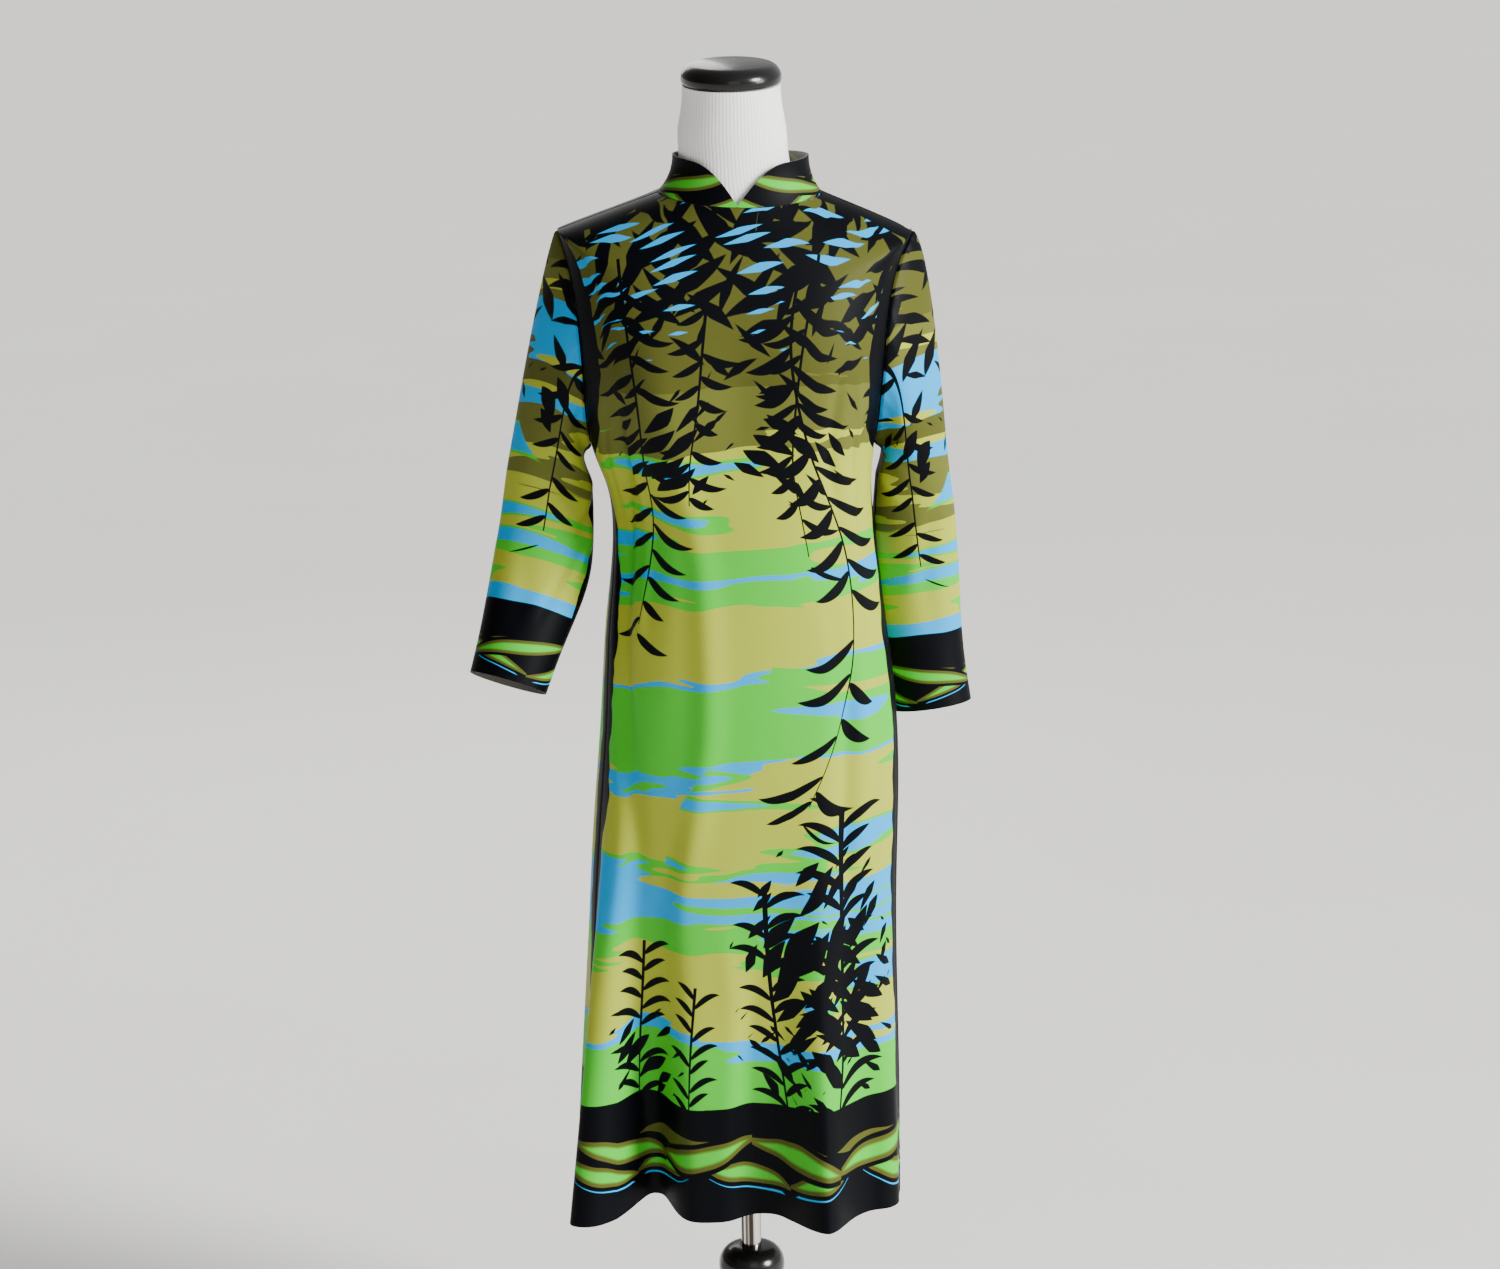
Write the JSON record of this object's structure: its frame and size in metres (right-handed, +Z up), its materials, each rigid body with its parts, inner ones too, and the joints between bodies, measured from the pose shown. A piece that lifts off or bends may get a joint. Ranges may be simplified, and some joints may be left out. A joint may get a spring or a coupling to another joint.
{
  "type": "mandarin collar dress on a dress form with stand",
  "caption": "Straight knee-length jersey dress with long sleeves and a split mandarin collar, zipped at the back, on a limbless dress form with a neck cap, pole and round turned base.",
  "frame": {"origin": "on the stand pole's axis, at the centre of the base's flat underside", "axes": "+Z up along the pole, the dress faces -Y, +X to the right as one looks at its front"},
  "size_m": [0.5362, 0.314, 1.5215],
  "materials": {
    "printed_jersey": "silky printed jersey",
    "border_jersey": "silky printed jersey",
    "white_knit": "fine ribbed knit",
    "black_lacquer": "gloss black lacquer",
    "chrome": "polished",
    "zip_metal": "satin nickel"
  },
  "bodies": {
    "dress_and_stand": {"front": "printed_jersey", "back_left": "printed_jersey", "back_right": "printed_jersey", "sleeve_left": "printed_jersey", "sleeve_right": "printed_jersey", "collar_left": "border_jersey", "collar_right": "border_jersey", "form_body": "white_knit", "neck_cap": "black_lacquer", "base": "black_lacquer", "pole": "chrome", "zip_slider": "zip_metal"},
    "pull_tab": {"zip_pull": "zip_metal"}
  },
  "joints": [
    {"name": "pull_tab_hinge", "type": "hinge", "parent": "dress_and_stand", "child": "pull_tab", "pos_m": [0.00607, 0.08397, 1.37083], "axis": [0.9953, 0.0482, -0.0836], "range_deg": [0, 150]}
  ]
}
